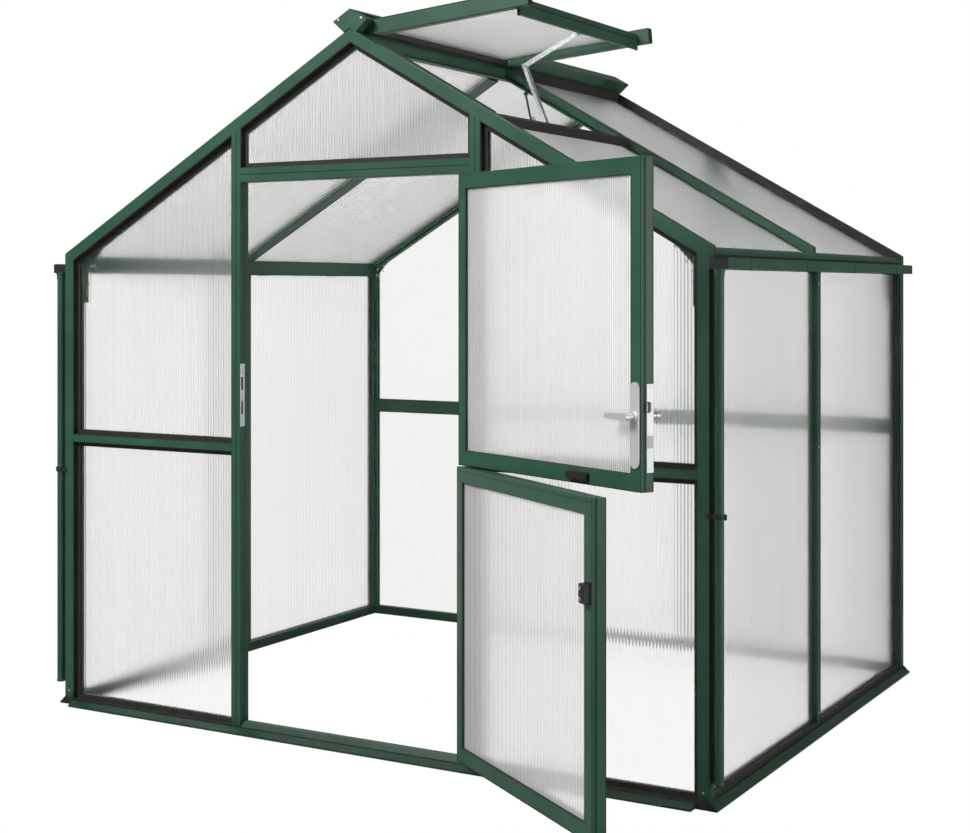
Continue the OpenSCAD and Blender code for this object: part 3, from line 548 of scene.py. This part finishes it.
def add_eaves_shade_and_gaskets():
    """Black strip of painted shade in the gap between the eaves beam and the cover trim, and the rubber glazing
    line at both ends.
    """
    bm = bmesh.new()
    low, high = HALF_W - 4 * MM, 90 * MM
    rise = -0.2 * MM
    for s in SIDES:
        # Painted shade: a black strip fills the dark gap under the eaves beam.
        side_bar(bm, s, HALF_W - 3.6 * MM, HALF_W + 0.5 * MM, (NOSE_W + MM, DEPTH - NOSE_W - MM),
                 (GUTTER_TOP - 4 * MM, roof_z(HALF_W, 22.5 * MM)))
        for y in (NOSE_W - 1.2 * MM, DEPTH - NOSE_W + 1.2 * MM):
            line(bm, (s * low, y, roof_z(low, rise)), (s * high, y, roof_z(high, rise)), Y, 2.2 * MM,
                 slope_out(s), 0.5 * MM)
    make_piece("eaves_shade_and_gaskets", bm, RUBBER)


def add_gutter_details():
    """Rolled lips, hooks and outlet collars of the gutters, and the pipes' joint rings."""
    bm = bmesh.new()
    hooks, hook_half, hook_inset = 4, 9 * MM, 0.2
    hook_z = (GUTTER_Z - 1.4 * MM, GUTTER_Z + 0.2 * MM)
    bore = 13.4 * MM
    for s in SIDES:
        lip = s * (GUTTER_OUT - 1.4 * MM)
        tube(bm, (lip, 7 * MM, GUTTER_TOP), (lip, GUTTER_END - MM, GUTTER_TOP), 2.2 * MM, 10)
        for i in range(hooks):
            middle = hook_inset + i * (GUTTER_END - 2 * hook_inset) / (hooks - 1)
            y = (middle - hook_half, middle + hook_half)
            side_bar(bm, s, HALF_W, GUTTER_OUT + 0.6 * MM, y, hook_z)
            side_bar(bm, s, GUTTER_OUT - MM, GUTTER_OUT + 0.8 * MM, y, (hook_z[0], GUTTER_TOP - 3 * MM))
        pipe = (s * (HALF_W + 27.5 * MM), 8 * MM)
        turned(bm, (*pipe, GUTTER_Z), -Z, [
            (0.0, -MM), (17.5 * MM, -MM), (17.5 * MM, 5 * MM), (15.2 * MM, 8 * MM),
            (15.2 * MM, 22 * MM), (14.2 * MM, 22.6 * MM), (bore, 22.6 * MM), (bore, 8 * MM),
            (0.0, 8 * MM)], 28)
        turned(bm, (*pipe, PIPE_FOOT), Z, [
            (bore, 0.5 * MM), (14.3 * MM, 0.5 * MM), (14.6 * MM, 2 * MM), (14.6 * MM, 9 * MM),
            (13.6 * MM, 10.5 * MM), (bore, 10.5 * MM), (bore, 0.5 * MM)], 28)
    smooth(make_piece("gutter_details", bm, GREEN), 35)


def add_pipe_shadows():
    """Dark strips of painted shadow behind each downpipe, between the pipe and its post."""
    bm = bmesh.new()
    for s in SIDES:
        side_bar(bm, s, HALF_W - MM, HALF_W + 18 * MM, (9 * MM, 12 * MM),
                 (PIPE_FOOT + 2 * MM, GUTTER_Z + MM))
    make_piece("pipe_shadow_strips", bm, SHADE)


def add_skirt_caps():
    """Black plastic ends over the side skirts."""
    bm = bmesh.new()
    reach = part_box("side_base_rails")[1].x - HALF_W
    depth, inner, top = 16.2 * MM, HALF_W - 2 * MM, 27 * MM
    for s in SIDES:
        for y in (-1.2 * MM, DEPTH - 15 * MM):
            outline = [(s * inner, y, 0.0), (s * (HALF_W + reach * 0.62), y, 0.0),
                       (s * (HALF_W + reach * 0.55), y, 15 * MM), (s * HALF_W, y, top),
                       (s * inner, y, top)]
            prism(bm, outline, Y * depth)
    soften(make_piece("skirt_end_caps", bm, PLASTIC), 1.5 * MM, 2)


GUSSET_SCREWS = ((12, 21), (62, 9), (100, -11), (6, 53), (51, 37), (28, 67), (28, 111))


def add_gusset_screws(bm):
    """Screws of the four corner gussets, at (along, drop) from the eaves corner in millimetres."""
    back = FRAME_D + 3 * MM
    for y, out in ((back, Y), (DEPTH - back, -Y)):
        for s in SIDES:
            for along, drop in GUSSET_SCREWS:
                x = HALF_W - FRAME_D - 0.5 * MM - (8 + along * 0.74) * MM
                z = roof_z(x, 44 * MM) - (drop * 0.8 + 2) * MM - 0.3 * along * MM
                z = min(z, roof_z(x, FRAME_D + 7 * MM))
                screw(bm, (s * x, y, z), out, 4.5 * MM)


def add_frame_screws():
    """Screws of the gussets, ridge plates, posts, brackets and strike plate."""
    bm = bmesh.new()
    small, flat = 3.4 * MM, 1.6 * MM
    add_gusset_screws(bm)
    for y, out in ((-3 * MM, -Y), (DEPTH + 3 * MM, Y)):
        for s in SIDES:
            screw(bm, (s * 45 * MM, y, CAP_TOP - 34 * MM), out, 4.6 * MM)
    for s in SIDES:
        for z in (0.06, RAIL_MID, 1.52):
            screw(bm, (s * MID_FACE, MID_Y, z), s * X, small, flat)
        for y, out in ((0, -Y), (DEPTH, Y)):
            screw(bm, (s * (HALF_W - 19 * MM), y, 0.05), out, small, 1.4 * MM)
    edges = sorted({round(v.co.z, 4) for v in NODES["hinge_brackets"].data.vertices})
    for z in edges[::2][:4]:
        for dx in (9 * MM, 20 * MM):
            screw(bm, (JAMB_IN + dx, -3 * MM, z + 12 * MM), -Y, small, flat)
    low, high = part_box("strike_plate")
    for z in (low.z + 9 * MM, high.z - 9 * MM):
        screw(bm, (high.x, 8.5 * MM, z), X, 3.2 * MM, 1 * MM)
    smooth(make_piece("frame_screws", bm, CHROME), 50)


# ---- vent details, drawn from the hinge outward on the level vent ----

# Outer faces of the two side rails, the rails' width, half height and length, and the lower bar
VENT_NEAR, VENT_FAR = 42 * MM, 976 * MM
VENT_RAIL, VENT_HALF_H, VENT_LENGTH = 30 * MM, 26.5 * MM, 615 * MM
VENT_BAR, VENT_BAR_TOP = 570 * MM, -10.6 * MM


def add_vent_groove_shadows():
    """Painted shadow lines in the profile grooves of the vent's side rails and lower bar."""
    bm = bmesh.new()
    t, top, foot = 0.3 * MM, VENT_HALF_H - 2.2 * MM, 1.6 * MM - VENT_HALF_H
    for y in (VENT_NEAR, VENT_FAR):
        line(bm, (24 * MM, y, top), (VENT_LENGTH, y, top), Z, GROOVE, Y, t)
        line(bm, (66 * MM, y, foot), (VENT_LENGTH, y, foot), Z, 3 * MM, Y, t)
    inner, z = (VENT_NEAR + VENT_RAIL, VENT_FAR - VENT_RAIL), 8 * MM - VENT_HALF_H
    for y in inner:
        line(bm, (66 * MM, y, z), (VENT_BAR - VENT_RAIL, y, z), Z, 1.8 * MM, Y, t)
    z = VENT_BAR_TOP + 1 * MM
    line(bm, (VENT_BAR, inner[0], z), (VENT_BAR, inner[1], z), Z, 3 * MM, X, t)
    make_piece("vent_grooves", bm, SHADE, place=VENT)


def add_vent_gaskets():
    """Rubber ends of the vent's side rails, and the strips beside its flap."""
    bm = bmesh.new()
    for y in (VENT_NEAR + 29.9 * MM, VENT_FAR - 31.9 * MM):
        bar(bm, (VENT_BAR - 11 * MM, y, -47 * MM), (VENT_BAR - MM, y + 2 * MM, -12 * MM))
    inset, end = 3 * MM, VENT_LENGTH + 2 * MM
    for y in (VENT_NEAR, VENT_FAR - VENT_RAIL):
        bar(bm, (VENT_LENGTH, y + inset, inset - VENT_HALF_H),
            (end, y + VENT_RAIL - inset, VENT_HALF_H - inset))
    soften(make_piece("vent_gaskets", bm, RUBBER, place=VENT), 0.8 * MM)


def add_stay_rod():
    """Black rod beside the stay, with its pivot boss."""
    bm = bmesh.new()
    y = 497 * MM
    tube(bm, (378 * MM, y, 2.172), (401 * MM, y, 2.072), 3.5 * MM, 14)
    turned(bm, (380 * MM, y + 6 * MM, 2.166), -Y,
           [(0.0, -MM), (6 * MM, -MM), (6 * MM, 10 * MM), (0.0, 10 * MM)], 18)
    smooth(make_piece("vent_stay_rod", bm, PLASTIC), 40)


def add_stay_bracket():
    """Zinc bracket that holds the stay under the vent's lower bar."""
    bm = bmesh.new()
    y, low = 509 * MM, -44 * MM
    near, far = VENT_BAR - 28 * MM, VENT_BAR - 12.2 * MM
    plate = far - 2.2 * MM
    for dy in (-18 * MM, 15 * MM):
        bar(bm, (near, y + dy, low), (far, y + dy + 2.4 * MM, -24 * MM))
    bar(bm, (plate, y - 24 * MM, low), (far, y + 24 * MM, -16 * MM))
    for dy in (-21 * MM, 21 * MM):
        screw(bm, (plate, y + dy, -30 * MM), -X, 2.4 * MM, 1.6 * MM)
    soften(make_piece("vent_stay_bracket", bm, ZINC, place=VENT), 0.5 * MM)


# ---- doors, drawn on the closed leaves ----

# Half width of a leaf, its rails and stiles, and its inner and outer faces
LEAF_X, LEAF_RAIL = 433 * MM, 46 * MM
LOCK_STILE, HINGE_STILE = 44 * MM, 37 * MM
LEAF_IN, LEAF_OUT = 25 * MM, -16 * MM


def ring(bm, x0, x1, z0, z1, width, y0, y1):
    """Rectangular ring in an upright plane, width wide outward from the opening."""
    for a, b, c, d in ((x0 - width, x1 + width, z1, z1 + width), (x0 - width, x1 + width, z0 - width, z0),
                       (x0 - width, x0, z0, z1), (x1, x1 + width, z0, z1)):
        bar(bm, (a, y0, c), (b, y1, d))


def add_leaf_details(name, body, place, top_line):
    """Glazing gaskets of one leaf, and painted shadow lines in its profile grooves."""
    z0, z1 = (corner.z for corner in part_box(body + "_frame"))
    x0, x1 = LOCK_STILE - LEAF_X, LEAF_X - HINGE_STILE
    low, high = z0 + LEAF_RAIL, z1 - LEAF_RAIL
    seal = bmesh.new()
    g = 1.6 * MM
    for near, far in ((LEAF_IN - 8.2 * MM, LEAF_IN - 1.5 * MM), (LEAF_OUT + 1.5 * MM, LEAF_IN - 14.2 * MM)):
        ring(seal, x0 + g, x1 - g, low + g, high - g, g, near, far)
    make_piece(name + "_gaskets", seal, RUBBER, body, place)

    # Painted shadow lines along the leaf's profile grooves.
    dark = bmesh.new()
    for y in (LEAF_IN, LEAF_OUT):
        if top_line:
            line(dark, (-LEAF_X, y, z1 - 12 * MM), (LEAF_X, y, z1 - 12 * MM), Z, 1.8 * MM, Y, PROUD)
        line(dark, (-LEAF_X, y, z0 + 1.5 * MM), (LEAF_X, y, z0 + 1.5 * MM), Z, 2.4 * MM, Y, PROUD)
        for x, width, foot, top in ((1.8 * MM - LEAF_X, GROOVE, z0, z1), (LEAF_X - 1.5 * MM, 2 * MM, z0, z1),
                                    (x0 - 3 * MM, 1.2 * MM, low, high)):
            line(dark, (x, y, foot), (x, y, top), X, width, Y, PROUD)
    for x, y in ((-LEAF_X - 3 * MM, LEAF_OUT + 2 * MM), (-LEAF_X, LEAF_IN - 9 * MM)):
        line(dark, (x, y, z0), (x, y, z1), Y, 2 * MM, X, PROUD)
    make_piece(name + "_grooves", dark, SHADE, body, place)


def add_lock_details():
    """Roses, face plate screws, latch tongue, a dark block of painted shade in the latch slot, and bolt face of
    the lever lock.
    """
    x, z, edge = -410 * MM, 1161 * MM, -438 * MM
    metal = bmesh.new()
    for y, out in ((30 * MM, Y), (-21 * MM, -Y)):
        turned(metal, (x, y, z), out, [
            (7 * MM, 0.0), (14.5 * MM, 0.0), (14.5 * MM, 3 * MM), (13 * MM, 4.4 * MM),
            (9.2 * MM, 4.8 * MM), (9.2 * MM, 2 * MM), (7 * MM, 0.0)], 28)
    for dz in (-141 * MM, 80 * MM):
        screw(metal, (edge, -3 * MM, z + dz), -X, 3.2 * MM, 0.8 * MM)
    smooth(make_piece("lock_furniture", metal, CHROME, "upper_door", UPPER), 40)

    tongue = bmesh.new()
    foot = z + 13 * MM
    outline = [(edge + MM, -12 * MM, foot), (edge + MM, -2 * MM, foot), (edge - 5 * MM, -2 * MM, foot),
               (edge - 5 * MM, -6 * MM, foot)]
    prism(tongue, outline, Z * 26 * MM)
    make_piece("latch_tongue", tongue, CHROME, "upper_door", UPPER)

    # Painted shade: a dark block stands for the shade inside the latch slot.
    slot = bmesh.new()
    bar(slot, (edge - 4.3 * MM, 2.4 * MM, z + 11 * MM), (edge + 0.5 * MM, 9.4 * MM, z + 41 * MM))
    make_piece("lock_shadows", slot, PLASTIC, "upper_door", UPPER)

    bolt = bmesh.new()
    bar(bolt, (edge - 0.35 * MM, -13 * MM, z - 84 * MM), (edge + 0.4 * MM, 8 * MM, z - 50 * MM))
    make_piece("lock_bolt_face", bolt, DULL, "upper_door", UPPER)


def add_catch_details():
    """Spring strips and ribbed housing of the lower leaf's catch."""
    x, y, z = -411 * MM, 47 * MM, 702 * MM
    y0, y1 = y - 3 * MM, y + 1.6 * MM
    metal = bmesh.new()
    for middle in (z - 15 * MM, z + 15 * MM):
        bar(metal, (x + 2 * MM, y0, middle - 5 * MM), (x + 4.5 * MM, y1, middle + 5 * MM))
    for middle in (z - 12 * MM, z + 12 * MM):
        bar(metal, (x + 4 * MM, y0, middle - 2 * MM), (x + 10 * MM, y1, middle + 1.5 * MM))
    make_piece("catch_spring", metal, CHROME, "lower_door", LOWER)

    black = bmesh.new()
    for dz in (-20 * MM, -7 * MM, 7 * MM, 20 * MM):
        bar(black, (x - 14.6 * MM, y - 10 * MM, z + dz - 1.5 * MM),
            (x - 3 * MM, y + 1.2 * MM, z + dz + 1.5 * MM))
    bar(black, (x - 15.8 * MM, y - 22 * MM, z - 30 * MM), (x + 15.8 * MM, y - 19.4 * MM, z + 30 * MM))
    soften(make_piece("catch_housing", black, PLASTIC, "lower_door", LOWER), 0.8 * MM)


# ---- studio ----

# Soft light from the front and from behind, lamps in watts, and the floor's own and seen-through tone
SOFT_FRONT, SOFT_BEHIND = 0.18, 1.0
KEY_POWER, FILL_POWER = 650.0, 130.0
FLOOR_TONE, FLOOR_THROUGH = 0.36, 0.98
WHITE = (1.0, 1.0, 1.0)


def look(location, target):
    """Rotation that points an object's -Z at a target."""
    return (Vector(target) - Vector(location)).to_track_quat("-Z", "Y").to_euler()


def add_camera():
    """Level camera to the right of the doorway, with its frame shifted down."""
    data = bpy.data.cameras.new("camera")
    data.sensor_width = 36.0
    data.lens = 61.52
    data.shift_y = -0.1318
    data.clip_end = 60.0
    camera = bpy.data.objects.new("camera", data)
    camera.location = (3.0641, -4.4552, 1.5039)
    camera.rotation_euler = (math.pi / 2, 0.0, math.radians(29.866))
    bpy.context.scene.collection.objects.link(camera)
    bpy.context.scene.camera = camera


def add_area_light(name, location, target, size, power):
    data = bpy.data.lights.new(name, "AREA")
    data.shape = "SQUARE"
    data.size = size
    data.energy = power
    light = bpy.data.objects.new(name, data)
    light.location = location
    light.rotation_euler = look(location, target)
    bpy.context.scene.collection.objects.link(light)


def add_world():
    """Soft light, stronger from behind the house, and a plain white backdrop straight or through sheets."""
    world = bpy.data.worlds.new("studio")
    world.use_nodes = True
    bpy.context.scene.world = world
    nodes, links = world.node_tree.nodes, world.node_tree.links
    nodes.clear()

    def node(kind, *inputs, **settings):
        made = nodes.new(kind)
        for key, value in settings.items():
            setattr(made, key, value)
        for socket, value in zip(made.inputs, inputs):
            if isinstance(value, bpy.types.NodeSocket):
                links.new(value, socket)
            else:
                socket.default_value = value
        return made.outputs

    ray = node("ShaderNodeLightPath")
    heading = node("ShaderNodeTexCoord")["Generated"]
    rear = node("ShaderNodeVectorMath", heading, (-0.35, 0.93, 0.1), operation="DOT_PRODUCT")["Value"]
    level = node("ShaderNodeMapRange", rear, 0.45, 0.95, SOFT_FRONT, SOFT_BEHIND)["Result"]
    level = node("ShaderNodeMath", level, ray["Is Diffuse Ray"], operation="MULTIPLY")["Value"]
    level = node("ShaderNodeMath", level, SOFT_FRONT, operation="MAXIMUM")["Value"]
    soft = node("ShaderNodeBackground", (*WHITE, 1.0), level)["Background"]
    plain = node("ShaderNodeBackground", (*WHITE, 1.0), 1.0)["Background"]
    first = node("ShaderNodeMath", ray["Diffuse Depth"], 0.5, operation="LESS_THAN")["Value"]
    through = node("ShaderNodeMath", ray["Is Transmission Ray"], first, operation="MULTIPLY")["Value"]
    lit = node("ShaderNodeMixShader", through, soft, plain)["Shader"]
    final = node("ShaderNodeMixShader", ray["Is Camera Ray"], lit, plain)["Shader"]
    links.new(final, nodes.new("ShaderNodeOutputWorld").inputs["Surface"])


def add_floor():
    """Plain white floor that runs into the backdrop."""
    bm = bmesh.new()
    bmesh.ops.create_grid(bm, x_segments=4, y_segments=4, size=14.0)
    mesh = bpy.data.meshes.new("floor")
    bm.to_mesh(mesh)
    bm.free()
    t = Tree("studio_floor")
    camera_ray = t.node("ShaderNodeLightPath", out="Is Camera Ray")
    depth = t.node("ShaderNodeLightPath", out="Diffuse Depth")
    first = t.node("ShaderNodeMath", depth, 0.5, operation="LESS_THAN")
    through = t.node("ShaderNodeLightPath", out="Is Transmission Ray") * first
    matt = t.principled(Base_Color=(FLOOR_TONE, FLOOR_TONE, FLOOR_TONE), Roughness=0.9)
    glow = t.node("ShaderNodeEmission", WHITE, FLOOR_THROUGH)
    seen = t.node("ShaderNodeEmission", WHITE, 1.0)
    lit = t.node("ShaderNodeMixShader", through, matt, glow)
    mesh.materials.append(t.finish(t.node("ShaderNodeMixShader", camera_ray, lit, seen)))
    floor = bpy.data.objects.new("floor", mesh)
    floor.location = (0.0, 1.0, -0.001)
    bpy.context.scene.collection.objects.link(floor)


def add_studio():
    bpy.context.scene.view_settings.view_transform = "Standard"
    add_world()
    add_area_light("key", (-1.8, -5.4, 6.2), (0.0, 0.3, 1.4), 3.4, KEY_POWER)
    add_area_light("fill", (6.2, 0.2, 1.5), (0.9, 0.9, 1.1), 2.6, FILL_POWER)
    add_floor()


add_camera()
add_studio()
dress_nodes()
add_grooves()
add_eaves_shade_and_gaskets()
add_gutter_details()
add_pipe_shadows()
add_skirt_caps()
add_frame_screws()
add_vent_groove_shadows()
add_vent_gaskets()
add_stay_rod()
add_stay_bracket()
add_leaf_details("upper_leaf", "upper_door", UPPER, top_line=False)
add_leaf_details("lower_leaf", "lower_door", LOWER, top_line=True)
add_lock_details()
add_catch_details()
